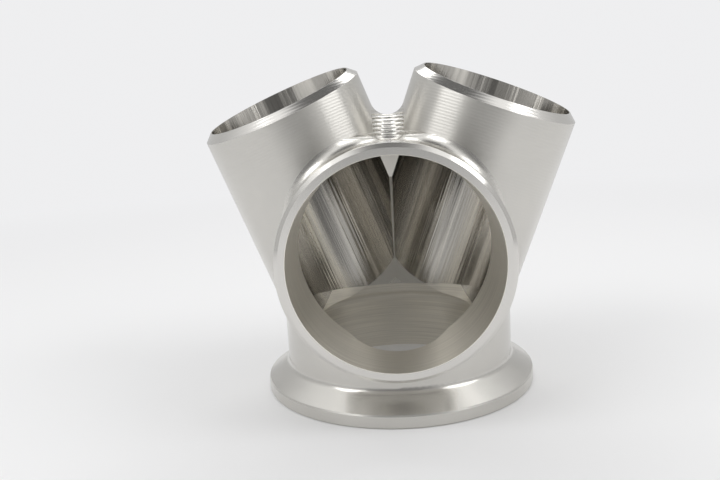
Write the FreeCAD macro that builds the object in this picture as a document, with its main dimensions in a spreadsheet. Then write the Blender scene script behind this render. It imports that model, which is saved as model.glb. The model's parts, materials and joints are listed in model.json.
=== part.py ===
import FreeCAD, Part
import math
import os

import Sketcher
from FreeCAD import Placement, Rotation, Vector

# A machined stainless exhaust collector, in millimetres, +Z up.
# Two inlet tubes lean apart in a V above an outlet barrel, a larger port looks out of the front (-Y),
# and a V-band flange closes the foot of the barrel. The origin is the middle of the flange's flat
# sealing face, on the barrel's axis. The pieces meet face to face on the cuts that a fabricator
# would cope: level cuts across the barrel, a mitre between the inlets, and a round hole through both
# inlets and the roof in which the port tube sits, with the collar as the blended strip around it.

SIZES = {
    "flange_od": 84.0,
    "flange_rim": 3.7,
    "flange_back_angle": 33.0,
    "flange_root_fillet": 2.0,
    "flange_edge_break": 0.3,
    "flange_neck_top": 11.0,
    "outlet_bore": 58.0,
    "barrel_lip": 0.4,
    "roof_shoulder": 10.0,
    "roof_slope": 40.0,
    "roof_tip_radius": 8.0,
    "roof_rise": 22.0,
    "chamber_drop": 5.3,
    "chamber_step_width": 2.4,
    "chamber_step_angle": 50.0,
    "chamber_low_round": 3.5,
    "chamber_high_round": 4.5,
    "chamber_cone_angle": 26.0,
    "chamber_tip_radius": 14.0,
    "inlet_bore": 45.6,
    "inlet_wall": 2.6,
    "inlet_land": 0.4,
    "inlet_bevel": 2.0,
    "inlet_lean": 20.8,
    "inlet_meet": 21.7,
    "inlet_length": 94.6,
    "inlet_root": 20.0,
    "port_bore": 55.2,
    "port_wall": 3.0,
    "port_land": 1.9,
    "port_bevel": 1.1,
    "port_rise": 3.2,
    "port_crest": 2.0,
    "port_reach": 46.4,
    "port_depth": 8.0,
    "inlet_blend": 5.3,
    "port_blend": 3.5,
    "collar_rise": 0.6,
    "ridge_land": 1.0,
    "overrun": 1.0,
}

OUTLET_BORE_RADIUS = "(Sizes.outlet_bore / 2)"
INLET_BORE_RADIUS = "(Sizes.inlet_bore / 2)"
INLET_RADIUS = "(Sizes.inlet_bore / 2 + Sizes.inlet_wall)"
PORT_BORE_RADIUS = "(Sizes.port_bore / 2)"
PORT_RADIUS = "(Sizes.port_bore / 2 + Sizes.port_wall)"
BEYOND = "(Sizes.inlet_length + Sizes.inlet_bore)"

# The heights follow each other from the flange up: the port clears the flange's neck, its crest stands
# over the valley between the inlets, and the barrel ends where the inlets' sides leave its wall.
PORT_HEIGHT = f"(Sizes.flange_neck_top + Sizes.port_rise + {PORT_RADIUS})"
PORT_TOP = f"({PORT_HEIGHT} + {PORT_RADIUS})"
INLET_CROSS = f"({PORT_TOP} - Sizes.port_crest - {INLET_RADIUS} / sin(Sizes.inlet_lean))"
BARREL_RADIUS = f"({INLET_RADIUS} / cos(Sizes.inlet_lean) + Sizes.inlet_meet * tan(Sizes.inlet_lean))"
BARREL_TOP = f"({INLET_CROSS} + Sizes.inlet_meet + Sizes.barrel_lip)"
CHAMBER_STRAIGHT_TOP = f"({BARREL_TOP} - Sizes.chamber_drop)"

SAME_PLACE = 0.0001
ALONG = 0.99
ASLANT = 0.01

doc = FreeCAD.newDocument("exhaust_collector")
sheet = doc.addObject("Spreadsheet::Sheet", "Sizes")


def fill_sheet():
    for row, (alias, number) in enumerate(SIZES.items(), start=1):
        sheet.set(f"A{row}", alias)
        sheet.set(f"B{row}", str(number))
        sheet.setAlias(f"B{row}", alias)
    doc.recompute()


def value(expression):
    """The number that an expression on the sheet's sizes gives."""
    return float(sheet.evalExpression(expression))


def bind(thing, sizes):
    """Tie each named property of a thing to an expression on the sheet's sizes."""
    for path, expression in sizes.items():
        thing.setExpression(path, expression)
    return thing


def place(thing, base, axis=Vector(0, 0, 1), angle="0"):
    """Give a shape its place: the base point and the turn about an axis are expressions."""
    thing.Placement = Placement(Vector(0, 0, 0), Rotation(axis, 1))
    for letter, expression in zip("xyz", base):
        thing.setExpression("Placement.Base." + letter, expression)
    thing.setExpression("Placement.Rotation.Angle", angle)
    return thing


def cylinder(name, radius, height):
    return bind(doc.addObject("Part::Cylinder", name), {"Radius": radius, "Height": height})


def cone(name, low_radius, high_radius, height):
    sizes = {"Radius1": low_radius, "Radius2": high_radius, "Height": height}
    return bind(doc.addObject("Part::Cone", name), sizes)


def box(name, low, size):
    sizes = {"Length": size[0], "Width": size[1], "Height": size[2]}
    return place(bind(doc.addObject("Part::Box", name), sizes), low)


def fuse(name, *shapes):
    joined = doc.addObject("Part::MultiFuse", name)
    joined.Shapes = list(shapes)
    joined.Refine = True
    return joined


def common(name, *shapes):
    shared = doc.addObject("Part::MultiCommon", name)
    shared.Shapes = list(shapes)
    shared.Refine = True
    return shared


def cut(name, base, tool):
    left = doc.addObject("Part::Cut", name)
    left.Base = base
    left.Tool = tool
    left.Refine = True
    return left


def rounding(before, corner, after, radius):
    """The arc that rounds a corner between two straight lines, by three points on it."""
    arriving = (before - corner).normalize()
    leaving = (after - corner).normalize()
    half = arriving.getAngle(leaving) / 2
    reach = radius / math.tan(half)
    middle = (arriving + leaving).normalize() * (radius / math.sin(half) - radius)
    return corner + arriving * reach, corner + middle, corner + leaving * reach


def pin(sketch, where, corner):
    """Hold a sketch point, given by its geometry and its end, at a corner's radius and height."""
    for kind, expression in zip(("DistanceX", "DistanceY"), corner):
        held = sketch.addConstraint(Sketcher.Constraint(kind, -1, 1, *where, value(expression)))
        sketch.setExpression(f"Constraints[{held}]", expression)


def round_off(sketch, arc, before, after, corner, point):
    """Put a tangent arc between two lines; the corner that it takes away stays as a construction point."""
    bow = sketch.addGeometry(Part.Arc(*arc), False)
    start = 1 if sketch.getPoint(bow, 1).distanceToPoint(arc[0]) < SAME_PLACE else 2
    sketch.addConstraint(Sketcher.Constraint("Tangent", before, 2, bow, start))
    sketch.addConstraint(Sketcher.Constraint("Tangent", after, 1, bow, 3 - start))
    held = sketch.addConstraint(Sketcher.Constraint("Radius", bow, value(corner[2])))
    sketch.setExpression(f"Constraints[{held}]", corner[2])
    apex = sketch.addGeometry(Part.Point(point), True)
    sketch.addConstraint(Sketcher.Constraint("PointOnObject", apex, 1, before))
    sketch.addConstraint(Sketcher.Constraint("PointOnObject", apex, 1, after))
    pin(sketch, (apex, 1), corner)


def profile(body, name, corners):
    """A closed sketch in the upright plane of a body.

    Each corner is a radius, a height and, where it is rounded, the radius of its arc."""
    sketch = body.newObject("Sketcher::SketchObject", name)
    upright = [plane for plane in body.Origin.OriginFeatures if plane.Role == "XZ_Plane"][0]
    sketch.AttachmentSupport = [(upright, "")]
    sketch.MapMode = "FlatFace"
    points = [Vector(value(corner[0]), value(corner[1]), 0) for corner in corners]
    count = len(points)
    arcs = {}
    for index, corner in enumerate(corners):
        if len(corner) > 2:
            after = points[(index + 1) % count]
            arcs[index] = rounding(points[index - 1], points[index], after, value(corner[2]))
    for index, point in enumerate(points):
        following = (index + 1) % count
        start = arcs[index][2] if index in arcs else point
        end = arcs[following][0] if following in arcs else points[following]
        sketch.addGeometry(Part.LineSegment(start, end), False)
    for index, corner in enumerate(corners):
        before = (index - 1) % count
        if index in arcs:
            round_off(sketch, arcs[index], before, index, corner, points[index])
        else:
            sketch.addConstraint(Sketcher.Constraint("Coincident", before, 2, index, 1))
            pin(sketch, (index, 1), corner)
    return sketch


def turned(name, corners):
    """A body turned about the barrel's axis from a closed outline."""
    body = doc.addObject("PartDesign::Body", name)
    sketch = profile(body, name + "_outline", corners)
    turning = body.newObject("PartDesign::Revolution", name + "_turned")
    turning.Profile = sketch
    turning.ReferenceAxis = (sketch, ["V_Axis"])
    turning.Angle = 360
    body.Tip = turning
    doc.recompute()
    return body


def ring_edges(shape, radius, height):
    """Names of the full circles about the barrel's axis at one radius and height."""
    names = []
    for index, edge in enumerate(shape.Edges, start=1):
        curve = edge.Curve
        if not isinstance(curve, Part.Circle):
            continue
        if max(abs(curve.Radius - radius), abs(curve.Center.z - height)) < SAME_PLACE:
            names.append(f"Edge{index}")
    return names


def break_edge(body, name, radius, height, size):
    """Chamfer one ring edge of a turned body."""
    base = body.Tip
    chamfer = body.newObject("PartDesign::Chamfer", name)
    chamfer.Base = (base, ring_edges(base.Shape, value(radius), value(height)))
    chamfer.setExpression("Size", size)
    body.Tip = chamfer
    doc.recompute()


def make_flange():
    """The V-band flange: flat face, upright rim, coned back and a short neck of the barrel's section."""
    rim = "Sizes.flange_od / 2"
    root = f"Sizes.flange_rim + (Sizes.flange_od / 2 - {BARREL_RADIUS}) * tan(Sizes.flange_back_angle)"
    body = turned("v_band_flange", [
        (OUTLET_BORE_RADIUS, "0"),
        (rim, "0"),
        (rim, "Sizes.flange_rim"),
        (BARREL_RADIUS, root, "Sizes.flange_root_fillet"),
        (BARREL_RADIUS, "Sizes.flange_neck_top"),
        (OUTLET_BORE_RADIUS, "Sizes.flange_neck_top"),
    ])
    for name, height in (("flange_foot_break", "0"), ("flange_rim_break", "Sizes.flange_rim")):
        break_edge(body, name, rim, height, "Sizes.flange_edge_break")
    return body


def make_barrel_and_roof_blank():
    """The outside of the barrel and its domed roof, solid, from the flange's neck up."""
    centre = f"({BARREL_RADIUS} - Sizes.roof_shoulder)"
    slope_radius = f"({centre} + Sizes.roof_shoulder * cos(Sizes.roof_slope))"
    slope_height = f"({BARREL_TOP} + Sizes.roof_shoulder * sin(Sizes.roof_slope))"
    fall = f"(({slope_radius} - Sizes.roof_tip_radius) / tan(Sizes.roof_slope))"
    shoulder = f"{BARREL_TOP} + Sizes.roof_shoulder * tan(Sizes.roof_slope / 2)"
    return turned("barrel_blank", [
        ("0", "Sizes.flange_neck_top"),
        (BARREL_RADIUS, "Sizes.flange_neck_top"),
        (BARREL_RADIUS, shoulder, "Sizes.roof_shoulder"),
        ("Sizes.roof_tip_radius", f"{slope_height} + {fall}"),
        ("0", f"{slope_height} + {fall}"),
    ])


def along_inlet(side, distance):
    """A point on an inlet's axis; side is -1 for the left inlet and 1 for the right one."""
    return (f"{side} * ({distance}) * sin(Sizes.inlet_lean)", "0",
            f"{INLET_CROSS} + ({distance}) * cos(Sizes.inlet_lean)")


def lean(thing, side, distance):
    return place(thing, along_inlet(side, distance), Vector(0, side, 0), "Sizes.inlet_lean")


def make_inlet_blank(name, side):
    """The outside of an inlet tube, solid, with the weld bevel at its mouth."""
    straight_length = "Sizes.inlet_length - Sizes.inlet_root - Sizes.inlet_bevel"
    straight = lean(cylinder(name + "_straight", INLET_RADIUS, straight_length), side, "Sizes.inlet_root")
    mouth_radius = f"{INLET_BORE_RADIUS} + Sizes.inlet_land"
    bevel = cone(name + "_bevel", INLET_RADIUS, mouth_radius, "Sizes.inlet_bevel")
    lean(bevel, side, "Sizes.inlet_length - Sizes.inlet_bevel")
    return fuse(name + "_blank", straight, bevel)


def face_front(thing, front):
    """Lay a shape along the port's axis with its foot so far in front of the barrel's axis."""
    return place(thing, ("0", f"-({front})", PORT_HEIGHT), Vector(1, 0, 0), "90")


def make_port_blank():
    """The outside of the front port, solid, from the barrel's axis plane to its bevelled mouth."""
    straight_length = "Sizes.port_reach - Sizes.port_bevel"
    straight = face_front(cylinder("port_straight", PORT_RADIUS, straight_length), "0")
    mouth_radius = f"{PORT_BORE_RADIUS} + Sizes.port_land"
    bevel = face_front(cone("port_mouth", PORT_RADIUS, mouth_radius, "Sizes.port_bevel"), straight_length)
    return fuse("port_blank", straight, bevel)


def make_passages():
    """All that is bored out: outlet and chamber, both inlets, the port and the blunted ridge."""
    step_top = f"({CHAMBER_STRAIGHT_TOP} + Sizes.chamber_step_width / tan(Sizes.chamber_step_angle))"
    step_radius = "(Sizes.outlet_bore / 2 - Sizes.chamber_step_width)"
    cone_rise = f"(({step_radius} - Sizes.chamber_tip_radius) / tan(Sizes.chamber_cone_angle))"
    chamber = turned("chamber_bore", [
        ("0", "-Sizes.overrun"),
        (OUTLET_BORE_RADIUS, "-Sizes.overrun"),
        (OUTLET_BORE_RADIUS, CHAMBER_STRAIGHT_TOP, "Sizes.chamber_low_round"),
        (step_radius, step_top, "Sizes.chamber_high_round"),
        ("Sizes.chamber_tip_radius", f"{step_top} + {cone_rise}"),
        ("0", f"{step_top} + {cone_rise}"),
    ])
    bores = []
    for name, side in (("left_bore", -1), ("right_bore", 1)):
        bore = cylinder(name, INLET_BORE_RADIUS, "Sizes.inlet_length - Sizes.inlet_root + Sizes.overrun")
        bores.append(lean(bore, side, "Sizes.inlet_root"))
    port = cylinder("port_drill", PORT_BORE_RADIUS, "Sizes.port_reach + Sizes.port_depth + Sizes.overrun")
    face_front(port, "-Sizes.port_depth")
    return fuse("passages", chamber, *bores, port, make_ridge_land())


def make_ridge_land():
    """The knife edge where the two inlet bores meet is milled away to a narrow flat land."""
    section = doc.addObject("Part::Ellipse", "ridge_section")
    bind(section, {
        "MajorRadius": f"{INLET_BORE_RADIUS} / sin(Sizes.inlet_lean)",
        "MinorRadius": INLET_BORE_RADIUS,
    })
    centre = f"{INLET_CROSS} + Sizes.ridge_land / 2 / tan(Sizes.inlet_lean)"
    place(section, ("-Sizes.ridge_land / 2", "0", centre), Vector(0, -1, 0), "90")
    land = doc.addObject("Part::Extrusion", "ridge_slot")
    land.Base = section
    land.DirMode = "Normal"
    land.Solid = True
    return bind(land, {"LengthFwd": "Sizes.ridge_land"})


def family(face):
    """Which blank a face of the outside belongs to, told from the kind and lean of its surface."""
    surface = face.Surface
    if isinstance(surface, Part.Cylinder):
        if abs(surface.Axis.y) > ALONG:
            return "port"
        if abs(surface.Axis.x) > ASLANT:
            return "inlet" + ("+" if surface.Axis.x * surface.Axis.z > 0 else "-")
        return "barrel"
    if isinstance(surface, (Part.Cone, Part.Toroid)) and abs(surface.Axis.z) > ALONG:
        return "barrel"
    return "other"


def blend(name, base, radius_cell, needed=frozenset()):
    """Round each seam between two families of a fused outside, or only those of the needed family."""
    doc.recompute()
    shape = base.Shape
    radius = value("Sizes." + radius_cell)
    seams = []
    for index, edge in enumerate(shape.Edges, start=1):
        families = {family(face) for face in shape.ancestorsOfType(edge, Part.Face)}
        if len(families) == 2 and "other" not in families and needed <= families:
            seams.append((index, radius, radius))
    rounded = doc.addObject("Part::Fillet", name)
    rounded.Base = base
    rounded.Edges = seams
    return rounded


def zone(name, low, high, left=BEYOND, right=BEYOND, front=BEYOND, back=BEYOND):
    """A block between two heights, reaching so far to each side of the barrel's axis."""
    size = (f"{left} + {right}", f"{front} + {back}", f"({high}) - ({low})")
    return box(name, (f"-({left})", f"-({front})", low), size)


def make_parts():
    """Cut the blended outside into its pieces where a fabricator would cope them, and bore them out."""
    inlets = {side: make_inlet_blank(name, side) for name, side in (("left", -1), ("right", 1))}
    port_blank = make_port_blank()
    passages = make_passages()

    legs = blend("legs", fuse("legs_sharp", make_barrel_and_roof_blank(), *inlets.values()), "inlet_blend")
    outside = blend("outside", fuse("outside_sharp", legs, port_blank), "port_blend", {"port"})
    body = cut("body_without_port", outside, port_blank)
    between = cut("between_inlets", body, fuse("inlet_blanks", *inlets.values()))

    top = f"{INLET_CROSS} + {BEYOND}"
    roof_split = f"({BARREL_TOP} + Sizes.roof_rise)"
    collar_top = f"({PORT_TOP} + Sizes.collar_rise)"
    barrel_zone = zone("barrel_zone", "Sizes.flange_neck_top", BARREL_TOP)
    collar_zone = zone("collar_zone", BARREL_TOP, collar_top, back="0")
    roof_zone = zone("roof_zone", BARREL_TOP, roof_split, front="0")
    web_zone = fuse("web_zone", zone("web_back_zone", roof_split, top, front="0"),
                    zone("web_front_zone", collar_top, top, back="0"))
    left_zone = zone("left_zone", BARREL_TOP, top, right="0")
    right_zone = zone("right_zone", BARREL_TOP, top, left="0")

    solids = {
        "outlet_barrel": common("barrel_solid", body, barrel_zone),
        "chamber_roof": common("roof_solid", between, roof_zone),
        "crotch_web": common("web_solid", between, web_zone),
        "port_collar": common("collar_solid", between, collar_zone),
        "left_inlet_tube": cut("left_solid", common("left_whole", inlets[-1], left_zone), port_blank),
        "right_inlet_tube": cut("right_solid", common("right_whole", inlets[1], right_zone), port_blank),
        "front_port_tube": port_blank,
    }
    parts = {"v_band_flange": make_flange()}
    for label, solid in solids.items():
        parts[label] = cut(label, solid, passages)
    return parts


def check_and_export(parts):
    doc.recompute()
    for thing in doc.Objects:
        bad = [word for word in ("Invalid", "Error") if word in thing.State]
        if bad:
            raise RuntimeError(f"{thing.Label} could not be built: {bad}")
    for label, thing in parts.items():
        thing.Label = label
        if thing.Shape.isNull() or not thing.Shape.isValid() or not thing.Shape.Solids:
            raise RuntimeError(f"{label} has no valid solid")
    os.makedirs("parts", exist_ok=True)
    for label, thing in parts.items():
        thing.Shape.exportStep(f"parts/{label}.step")
        print(f"{label}: {len(thing.Shape.Solids)} solid, {thing.Shape.Volume:.0f} mm3")


fill_sheet()
check_and_export(make_parts())
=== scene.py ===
import json
import math

import bpy
from bpy.props import FloatProperty, FloatVectorProperty, PointerProperty
from bpy.types import Operator, Panel, PropertyGroup
from mathutils import Matrix, Vector


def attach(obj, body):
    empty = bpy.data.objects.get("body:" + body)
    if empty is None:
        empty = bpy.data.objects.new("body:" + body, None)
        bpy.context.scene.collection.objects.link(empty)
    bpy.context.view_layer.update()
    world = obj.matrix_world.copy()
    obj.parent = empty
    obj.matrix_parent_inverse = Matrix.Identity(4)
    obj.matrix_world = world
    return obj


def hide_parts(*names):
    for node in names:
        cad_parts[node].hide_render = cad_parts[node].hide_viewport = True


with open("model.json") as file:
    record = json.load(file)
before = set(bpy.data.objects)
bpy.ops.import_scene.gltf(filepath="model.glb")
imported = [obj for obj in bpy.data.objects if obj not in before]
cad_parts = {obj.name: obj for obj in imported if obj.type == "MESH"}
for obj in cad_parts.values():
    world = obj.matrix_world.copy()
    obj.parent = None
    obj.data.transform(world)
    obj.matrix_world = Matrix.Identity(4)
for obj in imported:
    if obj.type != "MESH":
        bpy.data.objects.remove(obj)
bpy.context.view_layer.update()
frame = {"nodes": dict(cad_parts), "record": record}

# The looks of a machined stainless exhaust collector: two inlet tubes in a V, a wide front port,
# an outlet barrel and a V-band flange. Metres, +Z up; the origin is the middle of the flange's face.
# Every surface keeps the marks of the tool that made it: turned rings on the flange and the barrel,
# feed lines across the tubes, milled cusps in the crotch and fine streaks along the inlets' polished bores.
# Those streaks are a bump, and together with broad bands they are also painted reflection in the bores'
# colour.

bl_info = {
    "name": "Exhaust collector finishes",
    "version": (1, 0, 0),
    "blender": (4, 5, 0),
    "location": "View3D > Sidebar > Collector",
    "description": "Machined steel finishes, milled details and a studio for an exhaust collector",
    "category": "Object",
}

MM = 0.001


def mount(name):
    """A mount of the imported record: its place, its axis and its wall radius, in metres."""
    found = [each for each in frame["record"]["mounts"] if each["name"] == name][0]
    radius = found["dims"].get("r_mm", 0.0) * MM
    return Vector(found["pos_m"]), Vector(found["axis"]).normalized(), radius


OUTLET_MOUTH, OUTLET_AXIS, OUTLET_RADIUS = mount("outlet_bore")
PORT_MOUTH, PORT_AXIS, PORT_RADIUS = mount("front_port")
LEFT_MOUTH, LEFT_AXIS, INLET_RADIUS = mount("left_inlet")
RIGHT_MOUTH, RIGHT_AXIS, INLET_RADIUS = mount("right_inlet")

# How near points have to be: to each other to merge, to a mouth's ring and to a tube's wall.
MERGE_REACH = 0.001 * MM
RING_REACH = 0.05 * MM
WALL_REACH = 0.01 * MM

# Faces that meet at less than this angle shade as one.
SMOOTH_ANGLE = math.radians(28)

# Where the finishes change, and over what width: past a bore's wall, at the port's bevel and at the
# flange's sealing face. The slant carries the turned rings over onto faces square to the axis.
BORE_MARGIN = 0.15 * MM
MASK_EDGE = 0.1 * MM
PORT_BEVEL = 1.1 * MM
FACE_EDGE = 0.05 * MM
CONE_SLANT = 0.6

# Depths of the marks.
LINE_DEPTH = 0.016 * MM
STREAK_DEPTH = 0.12 * MM
RING_DEPTH = 0.003 * MM
CUSP_DEPTH = 0.22 * MM
BLEND_DEPTH = 0.004 * MM

# How the marks mix: lines and rings in a tube's relief, how far lines wander, and rings in the clouds.
LINE_SHARE = 0.5
RING_SHARE = 0.35
LINE_WANDER = 2.0
RINGS_IN_CLOUD = 0.4

# How fine the clouds, the turned rings and the brushed lines are, and where feed lines fade down a tube.
CLOUD_SCALE = 90.0
CLOUD_DETAIL = 3.0
RING_DETAIL = 3.0
BRUSH_LINES = 2600.0
FADE_MIDDLE = 30 * MM
FADE_LENGTH = 40 * MM

# The inlets' bored insides: broad bands and fine streaks along the bore, and the streaks' share. Bands
# and streaks are painted reflection in the colour; the fine streaks are also a bump.
BAND_TWIST = 0.5
BAND_SCALE = 4.5
BAND_DETAIL = 1.0
BAND_MIDDLE = 0.5
BAND_EDGE = 0.09
STREAK_SCALE = 30.0
STREAK_CONTRAST = 0.6
STREAK_SHARE = 0.4

# Darkest and lightest shade of each finish, as factors of its colour.
TUBE_SHADES = (0.94, 1.06)
TURNED_SHADES = (0.86, 1.06)
MILLED_SHADES = (0.92, 1.08)
# Painted reflection: light and dark bands along the inlets' bores, carried in the colour.
PAINTED_REFLECTION_SHADES = (0.52, 1.42)
BRUSHED_SHADES = (0.78, 1.22)

# Least and most roughness of each finish, as offsets from the panel's value.
SATIN_SPREAD = (-0.04, 0.05)
TURNED_SPREAD = (-0.15, -0.07)
BRUSHED_SPREAD = (-0.04, 0.04)
MILLED_SPREAD = (-0.12, -0.04)

# How strongly fine marks stretch a reflection, and how far that turns outwards on an end face.
TUBE_GRAIN = 0.85
TURNED_GRAIN = 0.8
MILLED_GRAIN = 0.6
END_FLARE = 0.35

# The camera fitted to the photograph: its place, the way it looks and its upright.
CAMERA_PLACE = (-0.00016, -0.2093, 0.0791)
CAMERA_FORWARD = (-0.0495, 0.9853, -0.1633)
CAMERA_UP = (0.0490, 0.1657, 0.9850)
SENSOR_WIDTH = 36.0
NEAR_CLIP = 0.01

# The world's zones: where each starts and is full, as a cosine, what it adds, and its middle.
SKY_ZONES = (
    (0.35, 0.95, 0.55, (0.0, 0.0, 1.0)),
    (0.87, 0.98, -1.0, (0.0, 0.2, 1.0)),
    (0.68, 0.97, -0.38, (0.0, -0.95, 0.3)),
)

# The lamps: name, place, width and height, and share of the main one's power; all face one point.
LAMPS = (
    ("softbox_left", (-0.5, -0.35, 0.65), (0.5, 0.35), 1.0),
    ("softbox_right", (0.55, -0.2, 0.6), (0.45, 0.3), 0.8),
    ("softbox_back", (0.0, 0.6, 0.7), (0.6, 0.3), 0.8),
)
LAMP_TARGET = (0, 0, 0.05)

# The floor, and how far out it melts into the backdrop.
FLOOR_SIZE = 6.0
FLOOR_COLOUR = (0.87, 0.87, 0.875)
FLOOR_ROUGHNESS = 0.7
FLOOR_EDGE = 0.45
FLOOR_MELT = 0.6


class CollectorSteel(PropertyGroup):
    """Colours and roughness of the steel, shared by all the pieces."""

    outside: FloatVectorProperty(
        name="Milled outside", description="Colour of the outside of all the pieces",
        subtype="COLOR", size=3, min=0.0, max=1.0, default=(0.66, 0.645, 0.61))
    bright: FloatVectorProperty(
        name="Bright cut", description="Colour of freshly turned edges and bevels",
        subtype="COLOR", size=3, min=0.0, max=1.0, default=(0.70, 0.685, 0.655))
    bore: FloatVectorProperty(
        name="Bore", description="Colour of the inlets' bored insides",
        subtype="COLOR", size=3, min=0.0, max=1.0, default=(0.56, 0.54, 0.50))
    # Painted light: this colour is lighter than the outside's to offset the shade inside the port's and the
    # outlet's bores.
    chamber: FloatVectorProperty(
        name="Chamber", description="Colour of the port's and the outlet's bores, lighter for their shade",
        subtype="COLOR", size=3, min=0.0, max=1.0, default=(0.84, 0.81, 0.74))
    satin: FloatProperty(
        name="Satin roughness",
        description="Roughness of the outside, and of the port's and the outlet's bores",
        subtype="FACTOR", min=0.05, max=1.0, default=0.34)
    polish: FloatProperty(
        name="Polished roughness", description="Roughness of the inlets' bores and of the bevels",
        subtype="FACTOR", min=0.05, max=1.0, default=0.16)


class CollectorForm(PropertyGroup):
    """The inlets' mouths: they lean to agree with the photograph, and the solids' are square."""

    mouth_lean: FloatProperty(
        name="Mouth lean", description="Angle by which an inlet's mouth faces forward",
        subtype="ANGLE", unit="ROTATION", min=0.0, max=0.4, default=math.radians(12.0))
    mouth_drop: FloatProperty(
        name="Mouth drop", description="How far the leaning mouth's middle sinks along the tube",
        subtype="DISTANCE", unit="LENGTH", min=0.0, default=0.0013)
    outer_radius: FloatProperty(
        name="Inlet radius", description="Outside radius of an inlet tube",
        subtype="DISTANCE", unit="LENGTH", min=0.0, default=0.0254)
    mouth_bevel: FloatProperty(
        name="Mouth bevel", description="Depth of the mouth's weld bevel along the tube",
        subtype="DISTANCE", unit="LENGTH", min=0.0, default=0.002)


class CollectorMarks(PropertyGroup):
    """Spacing and depth of the marks that the tools leave."""

    feed: FloatProperty(
        name="Feed", description="Distance between two turned rings",
        subtype="DISTANCE", unit="LENGTH", min=0.00005, default=0.00022)
    step: FloatProperty(
        name="Step", description="Distance between two milled feed lines on the tubes",
        subtype="DISTANCE", unit="LENGTH", min=0.0002, default=0.00085)
    cusp: FloatProperty(
        name="Cusp", description="Distance between two ball-milled cusps in the crotch",
        subtype="DISTANCE", unit="LENGTH", min=0.0004, default=0.0012)


class CollectorStudio(PropertyGroup):
    """The studio: backdrop colour, world, lamps and camera."""

    backdrop: FloatVectorProperty(
        name="Backdrop", description="Colour that the camera sees behind the part",
        subtype="COLOR", size=3, min=0.0, max=1.0, default=(0.86, 0.86, 0.87))
    ambient: FloatProperty(
        name="Ambient", description="Brightness of the world around the part",
        min=0.0, default=0.6)
    lamp: FloatProperty(
        name="Lamp", description="Power of the main softbox, in watts",
        min=0.0, default=1.35)
    lens: FloatProperty(
        name="Lens", description="Focal length of the camera",
        subtype="DISTANCE_CAMERA", unit="CAMERA", min=1.0, default=33.56)


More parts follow.
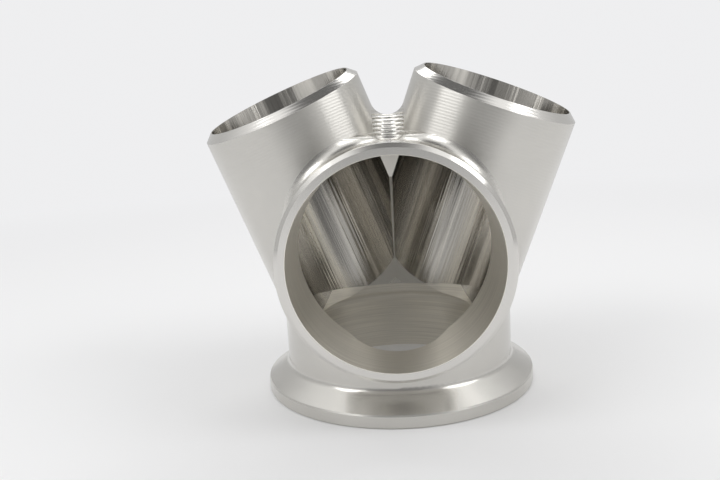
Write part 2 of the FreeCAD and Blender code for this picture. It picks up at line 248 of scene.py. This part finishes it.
class Shading:
    """One material's node tree, built up by short calls that give back sockets."""

    def __init__(self, name):
        self.material = bpy.data.materials.new(name)
        self.material.use_nodes = True
        self.tree = self.material.node_tree
        self.tree.nodes.clear()
        self.shader = self.node("ShaderNodeBsdfPrincipled")
        self.shader.inputs["Metallic"].default_value = 1.0
        self.out = self.node("ShaderNodeOutputMaterial")
        self.link(self.shader.outputs["BSDF"], self.out.inputs["Surface"])

    def node(self, kind, **traits):
        made = self.tree.nodes.new(kind)
        for key, trait in traits.items():
            setattr(made, key, trait)
        return made

    def link(self, start, end):
        self.tree.links.new(start, end)

    def feed(self, socket, given):
        """Give a socket a value, or link it to another socket."""
        if isinstance(given, bpy.types.NodeSocket):
            self.link(given, socket)
        else:
            socket.default_value = given

    def math(self, operation, *given):
        made = self.node("ShaderNodeMath", operation=operation)
        for socket, each in zip(made.inputs, given):
            self.feed(socket, each)
        return made.outputs[0]

    def blend(self, share, low, high):
        """A number between low and high by a share from 0 to 1."""
        made = self.node("ShaderNodeMix", data_type="FLOAT")
        for socket, each in zip((made.inputs[0], made.inputs[2], made.inputs[3]), (share, low, high)):
            self.feed(socket, each)
        return made.outputs[0]

    def gloss(self, share, middle, spread):
        """A roughness about a middle one, between its two offsets by a share from 0 to 1."""
        return self.blend(share, middle + spread[0], middle + spread[1])

    def tint(self, share, low, high):
        """A colour between low and high by a share from 0 to 1."""
        made = self.node("ShaderNodeMix", data_type="RGBA")
        for socket, each in zip((made.inputs[0], made.inputs[6], made.inputs[7]), (share, low, high)):
            self.feed(socket, (*each, 1.0) if isinstance(each, tuple) and len(each) == 3 else each)
        return made.outputs[2]

    def shade(self, colour, amount):
        """A colour made lighter or darker by a factor."""
        made = self.node("ShaderNodeVectorMath", operation="SCALE")
        self.feed(made.inputs[0], colour)
        self.feed(made.inputs["Scale"], amount)
        return made.outputs[0]

    def step(self, value, edge, width):
        """0 below an edge and 1 above it, smooth over a width."""
        made = self.node("ShaderNodeMapRange", interpolation_type="SMOOTHSTEP")
        limits = (value, edge - width / 2, edge + width / 2, 0.0, 1.0)
        for socket, each in zip(made.inputs, limits):
            self.feed(socket, each)
        return made.outputs[0]

    def vector(self, x, y, z):
        made = self.node("ShaderNodeCombineXYZ")
        for socket, each in zip(made.inputs, (x, y, z)):
            self.feed(socket, each)
        return made.outputs[0]

    def noise(self, where, scale, detail=2.0, roughness=0.5):
        """Cloudy noise from 0 to 1, with a middle of about a half."""
        made = self.node("ShaderNodeTexNoise")
        self.feed(made.inputs["Vector"], where)
        for name, each in (("Scale", scale), ("Detail", detail), ("Roughness", roughness)):
            self.feed(made.inputs[name], each)
        return made.outputs["Fac"]

    def turned_place(self, origin, axis):
        """Coordinates about an axis, as sockets by name."""
        coordinates = self.node("ShaderNodeTexCoord")
        centred = self.node("ShaderNodeMapping", vector_type="TEXTURE")
        self.link(coordinates.outputs["Object"], centred.inputs["Vector"])
        centred.inputs["Location"].default_value = origin
        centred.inputs["Rotation"].default_value = Vector((0, 0, 1)).rotation_difference(axis).to_euler()
        split = self.node("ShaderNodeSeparateXYZ")
        self.link(centred.outputs[0], split.inputs[0])
        across, beside, along = split.outputs
        squares = [self.math("MULTIPLY", each, each) for each in (across, beside)]
        radius = self.math("SQRT", self.math("ADD", *squares))
        return {
            "all": centred.outputs[0],
            "radius": radius,
            "along": along,
            "beside": beside,
            "cos": self.math("DIVIDE", across, radius),
            "sin": self.math("DIVIDE", beside, radius),
        }

    def relief(self, height, depth, below=None):
        """A bump of so many metres; it can lie on another one."""
        made = self.node("ShaderNodeBump")
        made.inputs["Strength"].default_value = 1.0
        self.feed(made.inputs["Distance"], depth)
        self.feed(made.inputs["Height"], height)
        if below is not None:
            self.link(below, made.inputs["Normal"])
        return made.outputs[0]

    def grain(self, origin, axis, strength, flare):
        """Spread reflections across fine rings about an axis; flare does so on end faces."""
        self.shader.inputs["Anisotropic"].default_value = strength
        place = self.node("ShaderNodeTexCoord")
        offset = self.node("ShaderNodeVectorMath", operation="SUBTRACT")
        self.link(place.outputs["Object"], offset.inputs[0])
        offset.inputs[1].default_value = origin
        along = self.node("ShaderNodeVectorMath", operation="PROJECT")
        self.link(offset.outputs[0], along.inputs[0])
        along.inputs[1].default_value = axis
        outward = self.node("ShaderNodeVectorMath", operation="SUBTRACT")
        self.link(offset.outputs[0], outward.inputs[0])
        self.link(along.outputs[0], outward.inputs[1])
        unit = self.node("ShaderNodeVectorMath", operation="NORMALIZE")
        self.link(outward.outputs[0], unit.inputs[0])
        tangent = self.node("ShaderNodeVectorMath", operation="MULTIPLY_ADD")
        self.link(unit.outputs[0], tangent.inputs[0])
        tangent.inputs[1].default_value = (flare, flare, flare)
        tangent.inputs[2].default_value = axis
        self.link(tangent.outputs[0], self.shader.inputs["Tangent"])

    def wear(self, colour, roughness, normal):
        self.feed(self.shader.inputs["Base Color"], colour)
        self.feed(self.shader.inputs["Roughness"], roughness)
        self.link(normal, self.shader.inputs["Normal"])
        return self.material


def settings(*names):
    """Some of the panel's groups of values, by name."""
    return [getattr(bpy.context.scene, "collector_" + name) for name in names]


def pick_only(thing):
    """Select one object and no others, and make it active."""
    bpy.ops.object.select_all(action="DESELECT")
    thing.select_set(True)
    bpy.context.view_layer.objects.active = thing


def lean_mouth(thing, mouth, axis, lean, drop, bevel):
    """Turn a mouth's rings to face forward, each about its own middle, and keep them on the walls."""
    bpy.ops.object.mode_set(mode="OBJECT")
    depths = [(mouth - vertex.co).dot(axis) for vertex in thing.data.vertices]
    bpy.ops.object.mode_set(mode="EDIT")
    for ring in (0.0, bevel / 2, bevel):
        middle = mouth - ring * axis
        bpy.ops.mesh.select_all(action="DESELECT")
        bpy.ops.object.mode_set(mode="OBJECT")
        for vertex, depth in zip(thing.data.vertices, depths):
            vertex.select = abs(depth - ring) < RING_REACH
        bpy.ops.object.mode_set(mode="EDIT")
        turned = Matrix((axis.cross(Vector((0, 1, 0))), Vector((0, 1, 0)), axis)).transposed()
        bpy.ops.transform.rotate(value=-lean, orient_axis="X", orient_type="GLOBAL",
                                 orient_matrix=[list(row) for row in turned], orient_matrix_type="GLOBAL",
                                 constraint_axis=(True, False, False), center_override=middle)
        bpy.ops.transform.resize(value=(1, 1 / math.cos(lean), 1), center_override=middle)
        bpy.ops.transform.translate(value=-drop * axis)


def light_as_round(thing, mouth, axis, radii):
    """Light a tube's walls as true cylinders, whatever shapes their long triangles have."""
    mesh = thing.data
    normals = [corner.vector.copy() for corner in mesh.corner_normals]
    for polygon in mesh.polygons:
        offsets = [mesh.vertices[index].co - mouth for index in polygon.vertices]
        spokes = [offset - offset.dot(axis) * axis for offset in offsets]
        for radius in radii:
            if max(abs(spoke.length - radius) for spoke in spokes) < WALL_REACH:
                for corner, spoke in zip(polygon.loop_indices, spokes):
                    normals[corner] = math.copysign(1, spoke.dot(polygon.normal)) * spoke.normalized()
    mesh.normals_split_custom_set(normals)


def leaning_inlet(node, name, mouth, axis):
    """A copy of an inlet whose mouth rings face a little forward; its walls stay where they are."""
    (form,) = settings("form")
    pick_only(frame["nodes"][node])
    bpy.ops.object.duplicate()
    piece = bpy.context.object
    piece.name = name
    piece.data.name = name
    bpy.ops.object.mode_set(mode="EDIT")
    bpy.ops.mesh.select_mode(type="VERT")
    bpy.ops.mesh.select_all(action="SELECT")
    bpy.ops.mesh.remove_doubles(threshold=MERGE_REACH)
    lean_mouth(piece, mouth, axis, form.mouth_lean, form.mouth_drop, form.mouth_bevel)
    bpy.ops.object.mode_set(mode="OBJECT")
    bpy.ops.mesh.customdata_custom_splitnormals_clear()
    bpy.ops.object.shade_smooth_by_angle(angle=SMOOTH_ANGLE)
    light_as_round(piece, mouth, axis, (INLET_RADIUS, form.outer_radius))
    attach(piece, "root")
    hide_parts(node)
    return piece


def reflection_painted_bore(look, at, colour, polish):
    """Colour, roughness and height of a bored wall; bands and streaks along it are painted reflection."""
    around = look.vector(at["cos"], at["sin"], look.math("MULTIPLY", at["along"], BAND_TWIST))
    broad = look.step(look.noise(around, BAND_SCALE, BAND_DETAIL), BAND_MIDDLE, BAND_EDGE)
    fine = look.noise(around, STREAK_SCALE, roughness=STREAK_CONTRAST)
    streaks = look.blend(STREAK_SHARE, broad, fine)
    # Painted reflection: the bands and streaks lighten and darken the bore's colour.
    reflection_painted_colour = look.shade(colour, look.blend(streaks, *PAINTED_REFLECTION_SHADES))
    return reflection_painted_colour, look.gloss(broad, polish, SATIN_SPREAD), fine


def tube_finish(name, mouth, axis):
    """An inlet's steel: lined satin outside, bright bevel at the mouth, and a bore with marks and painted
    reflections.
    """
    steel, marks, form = settings("steel", "marks", "form")
    look = Shading(name)
    look.grain(mouth, axis, TUBE_GRAIN, -END_FLARE)
    at = look.turned_place(mouth, axis)
    raised = look.math("MULTIPLY_ADD", at["beside"], math.sin(form.mouth_lean), -form.mouth_drop)
    below_rim = look.math("SUBTRACT", at["along"], raised)
    inside = look.math("SUBTRACT", 1.0, look.step(at["radius"], INLET_RADIUS + BORE_MARGIN, MASK_EDGE))
    at_bevel = look.step(below_rim, -form.mouth_bevel, MASK_EDGE)
    cloud = look.noise(at["all"], CLOUD_SCALE, CLOUD_DETAIL)
    rings = look.noise(look.vector(0.0, 0.0, at["along"]), 1.0 / marks.feed)
    fade = look.step(at["along"], -FADE_MIDDLE, FADE_LENGTH)
    line_phase = look.math("MULTIPLY", at["along"], 2 * math.pi / marks.step)
    lines = look.math("SINE", look.math("ADD", line_phase, look.math("MULTIPLY", cloud, LINE_WANDER)))
    lines = look.math("MULTIPLY", lines, fade)

    outside = look.shade(tuple(steel.outside), look.blend(cloud, *TUBE_SHADES))
    # The bore's colour holds painted reflection bands; its fine streaks are also a bump.
    bore, bore_rough, streaks = reflection_painted_bore(look, at, tuple(steel.bore), steel.polish)
    colour = look.tint(at_bevel, outside, tuple(steel.bright))
    colour = look.tint(inside, colour, bore)
    rough = look.blend(at_bevel, look.gloss(cloud, steel.satin, SATIN_SPREAD), steel.polish)
    rough = look.blend(inside, rough, bore_rough)

    line_height = look.math("MULTIPLY", lines, LINE_SHARE)
    ring_height = look.math("MULTIPLY", rings, RING_SHARE)
    outside_height = look.math("ADD", line_height, ring_height)
    not_inside = look.math("SUBTRACT", 1.0, inside)
    normal = look.relief(look.math("MULTIPLY", outside_height, not_inside), LINE_DEPTH)
    normal = look.relief(look.math("MULTIPLY", streaks, inside), STREAK_DEPTH, normal)
    return look.wear(colour, rough, normal)


def turned_finish(name, mouth, axis, bore_radius, lip, slant, flare):
    """A turned piece's steel: fine rings outside and in the bore, and a bright lip at its mouth."""
    steel, marks = settings("steel", "marks")
    look = Shading(name)
    look.grain(mouth, axis, TURNED_GRAIN, flare)
    at = look.turned_place(mouth, axis)
    inside = look.math("SUBTRACT", 1.0, look.step(at["radius"], bore_radius + BORE_MARGIN, MASK_EDGE))
    at_lip = look.step(at["along"], -lip, MASK_EDGE)
    cloud = look.noise(at["all"], CLOUD_SCALE, CLOUD_DETAIL)
    profile_place = look.math("SUBTRACT", at["along"], look.math("MULTIPLY", at["radius"], slant))
    rings = look.noise(look.vector(0.0, 0.0, profile_place), 1.0 / marks.feed, RING_DETAIL)
    mottled = look.blend(RINGS_IN_CLOUD, cloud, rings)
    outside = look.shade(tuple(steel.outside), look.blend(mottled, *TURNED_SHADES))
    wound = look.vector(at["cos"], at["sin"], look.math("MULTIPLY", at["along"], BRUSH_LINES))
    brushed = look.noise(wound, 1.0)
    # Painted light: the chamber colour is lightened to offset the shade in the bore; the brushed noise is
    # the steel's own tone.
    bore = look.shade(tuple(steel.chamber), look.blend(brushed, *BRUSHED_SHADES))
    colour = look.tint(inside, look.tint(at_lip, outside, tuple(steel.bright)), bore)
    rough = look.blend(at_lip, look.gloss(cloud, steel.satin, TURNED_SPREAD), steel.polish)
    rough = look.blend(inside, rough, look.gloss(rings, steel.satin, BRUSHED_SPREAD))
    return look.wear(colour, rough, look.relief(rings, RING_DEPTH))


def finish_node(node, material):
    """Give a CAD node one material on its slots."""
    thing = frame["nodes"][node]
    thing.data.materials.clear()
    thing.data.materials.append(material)


class COLLECTOR_OT_make_inlets(Operator):
    """Both inlets with forward-facing mouths, satin outside, bright bevels and bores with painted
    reflections.
    """

    bl_idname = "collector.make_inlets"
    bl_label = "Make the inlet tubes"

    def execute(self, context):
        for side, mouth, axis in (("left", LEFT_MOUTH, LEFT_AXIS), ("right", RIGHT_MOUTH, RIGHT_AXIS)):
            piece = leaning_inlet(side + "_inlet_tube", side + "_inlet", mouth, axis)
            piece.data.materials.clear()
            piece.data.materials.append(tube_finish(side + "_inlet_steel", mouth, axis))
        return {"FINISHED"}


class COLLECTOR_OT_finish_port(Operator):
    """Satin outside, bright bevelled lip and a finely ringed bore on the front port."""

    bl_idname = "collector.finish_port"
    bl_label = "Finish the front port"

    def execute(self, context):
        steel = turned_finish(
            "front_port_steel", PORT_MOUTH, PORT_AXIS, PORT_RADIUS, PORT_BEVEL, 0.0, -END_FLARE)
        finish_node("front_port_tube", steel)
        return {"FINISHED"}


class COLLECTOR_OT_finish_barrel(Operator):
    """Turned rings on the outlet barrel, the flange and inside the outlet bore."""

    bl_idname = "collector.finish_barrel"
    bl_label = "Finish the barrel and the flange"

    def execute(self, context):
        for node in ("v_band_flange", "outlet_barrel"):
            steel = turned_finish(
                node + "_steel", OUTLET_MOUTH, OUTLET_AXIS, OUTLET_RADIUS, FACE_EDGE, CONE_SLANT, END_FLARE)
            finish_node(node, steel)
        return {"FINISHED"}


class COLLECTOR_OT_finish_milled(Operator):
    """Ball-milled cusps on the crotch, the collar round the port and the chamber's roof."""

    bl_idname = "collector.finish_milled"
    bl_label = "Finish the milled blends"

    def execute(self, context):
        steel, marks = settings("steel", "marks")
        for node in ("crotch_web", "chamber_roof", "port_collar"):
            look = Shading(node + "_steel")
            look.grain(OUTLET_MOUTH, OUTLET_AXIS, MILLED_GRAIN, 0.0)
            at = look.turned_place(OUTLET_MOUTH, -OUTLET_AXIS)
            cloud = look.noise(at["all"], CLOUD_SCALE, CLOUD_DETAIL)
            turn = look.math("MULTIPLY", at["along"], math.pi / marks.cusp)
            cusps = look.math("ABSOLUTE", look.math("SINE", turn))
            colour = look.shade(tuple(steel.outside), look.blend(cloud, *MILLED_SHADES))
            rough = look.gloss(cloud, steel.satin, MILLED_SPREAD)
            depth = CUSP_DEPTH if node == "crotch_web" else BLEND_DEPTH
            normal = look.relief(cusps, depth)
            finish_node(node, look.wear(colour, rough, normal))
        return {"FINISHED"}


class COLLECTOR_OT_stage(Operator):
    """A pale floor, soft lamps, a pale world and the camera."""

    bl_idname = "collector.stage"
    bl_label = "Set the studio"

    def execute(self, context):
        (studio,) = settings("studio")
        scene = context.scene
        scene.view_settings.view_transform = "Standard"

        self.lay_floor(tuple(studio.backdrop))
        self.light_world(scene, tuple(studio.backdrop), studio.ambient)
        self.hang_lamps(scene, studio.lamp)

        lens = bpy.data.cameras.new("photo_camera")
        lens.sensor_width = SENSOR_WIDTH
        lens.lens = studio.lens
        lens.clip_start = NEAR_CLIP
        camera = bpy.data.objects.new("photo_camera", lens)
        scene.collection.objects.link(camera)
        forward = Vector(CAMERA_FORWARD).normalized()
        up = Vector(CAMERA_UP)
        right = forward.cross(up).normalized()
        up = right.cross(forward)
        turn = Matrix((right, up, -forward)).transposed().to_4x4()
        camera.matrix_world = Matrix.Translation(CAMERA_PLACE) @ turn
        scene.camera = camera
        return {"FINISHED"}

    def lay_floor(self, backdrop):
        """A pale floor that takes the part's shadow and melts into the backdrop further out."""
        bpy.ops.object.select_all(action="DESELECT")
        bpy.ops.mesh.primitive_plane_add(size=FLOOR_SIZE, location=(0, 0, 0))
        floor = bpy.context.object
        floor.name = "studio_floor"
        paint = Shading("floor_paint")
        paint.shader.inputs["Metallic"].default_value = 0.0
        paint.shader.inputs["Roughness"].default_value = FLOOR_ROUGHNESS
        paint.shader.inputs["Base Color"].default_value = (*FLOOR_COLOUR, 1.0)
        place = paint.node("ShaderNodeTexCoord")
        reach = paint.node("ShaderNodeVectorMath", operation="LENGTH")
        paint.link(place.outputs["Object"], reach.inputs[0])
        far = paint.step(reach.outputs["Value"], FLOOR_EDGE, FLOOR_MELT)
        ray = paint.node("ShaderNodeLightPath")
        glow = paint.node("ShaderNodeEmission")
        glow.inputs["Color"].default_value = (*backdrop, 1.0)
        mix = paint.node("ShaderNodeMixShader")
        paint.feed(mix.inputs[0], paint.math("MULTIPLY", far, ray.outputs["Is Camera Ray"]))
        paint.link(paint.shader.outputs["BSDF"], mix.inputs[1])
        paint.link(glow.outputs[0], mix.inputs[2])
        paint.link(mix.outputs[0], paint.out.inputs["Surface"])
        floor.data.materials.append(paint.material)

    def light_world(self, scene, backdrop, ambient):
        """A pale world with brighter and darker zones; the camera alone sees the plain backdrop."""
        world = bpy.data.worlds.new("studio_world")
        world.use_nodes = True
        scene.world = world
        tree = world.node_tree
        tree.nodes.clear()
        place = tree.nodes.new("ShaderNodeTexCoord")
        total = ambient
        for low, high, gain, towards in SKY_ZONES:
            facing = tree.nodes.new("ShaderNodeVectorMath")
            facing.operation = "DOT_PRODUCT"
            tree.links.new(place.outputs["Generated"], facing.inputs[0])
            facing.inputs[1].default_value = Vector(towards).normalized()
            zone = tree.nodes.new("ShaderNodeMapRange")
            zone.interpolation_type = "SMOOTHSTEP"
            tree.links.new(facing.outputs["Value"], zone.inputs[0])
            for socket, number in zip(list(zone.inputs)[1:5], (low, high, 0.0, gain)):
                socket.default_value = number
            sum_up = tree.nodes.new("ShaderNodeMath")
            tree.links.new(zone.outputs[0], sum_up.inputs[0])
            if isinstance(total, float):
                sum_up.inputs[1].default_value = total
            else:
                tree.links.new(total, sum_up.inputs[1])
            total = sum_up.outputs[0]
        lit = tree.nodes.new("ShaderNodeBackground")
        tree.links.new(total, lit.inputs["Color"])
        seen = tree.nodes.new("ShaderNodeBackground")
        seen.inputs["Color"].default_value = (*backdrop, 1.0)
        ray = tree.nodes.new("ShaderNodeLightPath")
        mix = tree.nodes.new("ShaderNodeMixShader")
        out = tree.nodes.new("ShaderNodeOutputWorld")
        tree.links.new(ray.outputs["Is Camera Ray"], mix.inputs[0])
        tree.links.new(lit.outputs[0], mix.inputs[1])
        tree.links.new(seen.outputs[0], mix.inputs[2])
        tree.links.new(mix.outputs[0], out.inputs[0])

    def hang_lamps(self, scene, power):
        """Three soft boxes: left front, right and behind."""
        for name, spot, (wide, high), share in LAMPS:
            light = bpy.data.lights.new(name, "AREA")
            light.shape = "RECTANGLE"
            light.size = wide
            light.size_y = high
            light.energy = power * share
            lamp = bpy.data.objects.new(name, light)
            lamp.location = spot
            towards = Vector(LAMP_TARGET) - Vector(spot)
            lamp.rotation_euler = towards.to_track_quat("-Z", "Y").to_euler()
            scene.collection.objects.link(lamp)


class COLLECTOR_PT_panel(Panel):
    """The collector's finishes in the 3D view's sidebar."""

    bl_idname = "COLLECTOR_PT_panel"
    bl_label = "Exhaust collector"
    bl_space_type = "VIEW_3D"
    bl_region_type = "UI"
    bl_category = "Collector"

    def draw(self, context):
        layout = self.layout
        for key, kind in GROUPS.items():
            column = layout.column()
            for name in kind.__annotations__:
                column.prop(getattr(context.scene, key), name)
        for operator in OPERATORS:
            layout.operator(operator.bl_idname)


OPERATORS = (
    COLLECTOR_OT_make_inlets,
    COLLECTOR_OT_finish_port,
    COLLECTOR_OT_finish_barrel,
    COLLECTOR_OT_finish_milled,
    COLLECTOR_OT_stage,
)
GROUPS = {
    "collector_form": CollectorForm,
    "collector_steel": CollectorSteel,
    "collector_marks": CollectorMarks,
    "collector_studio": CollectorStudio,
}


def register():
    for each in (*GROUPS.values(), *OPERATORS, COLLECTOR_PT_panel):
        bpy.utils.register_class(each)
    for name, group in GROUPS.items():
        setattr(bpy.types.Scene, name, PointerProperty(type=group))


def unregister():
    for name in GROUPS:
        delattr(bpy.types.Scene, name)
    for each in reversed((*GROUPS.values(), *OPERATORS, COLLECTOR_PT_panel)):
        bpy.utils.unregister_class(each)


def main():
    register()
    bpy.ops.collector.make_inlets()
    bpy.ops.collector.finish_port()
    bpy.ops.collector.finish_barrel()
    bpy.ops.collector.finish_milled()
    bpy.ops.collector.stage()


if __name__ == "__main__":
    main()
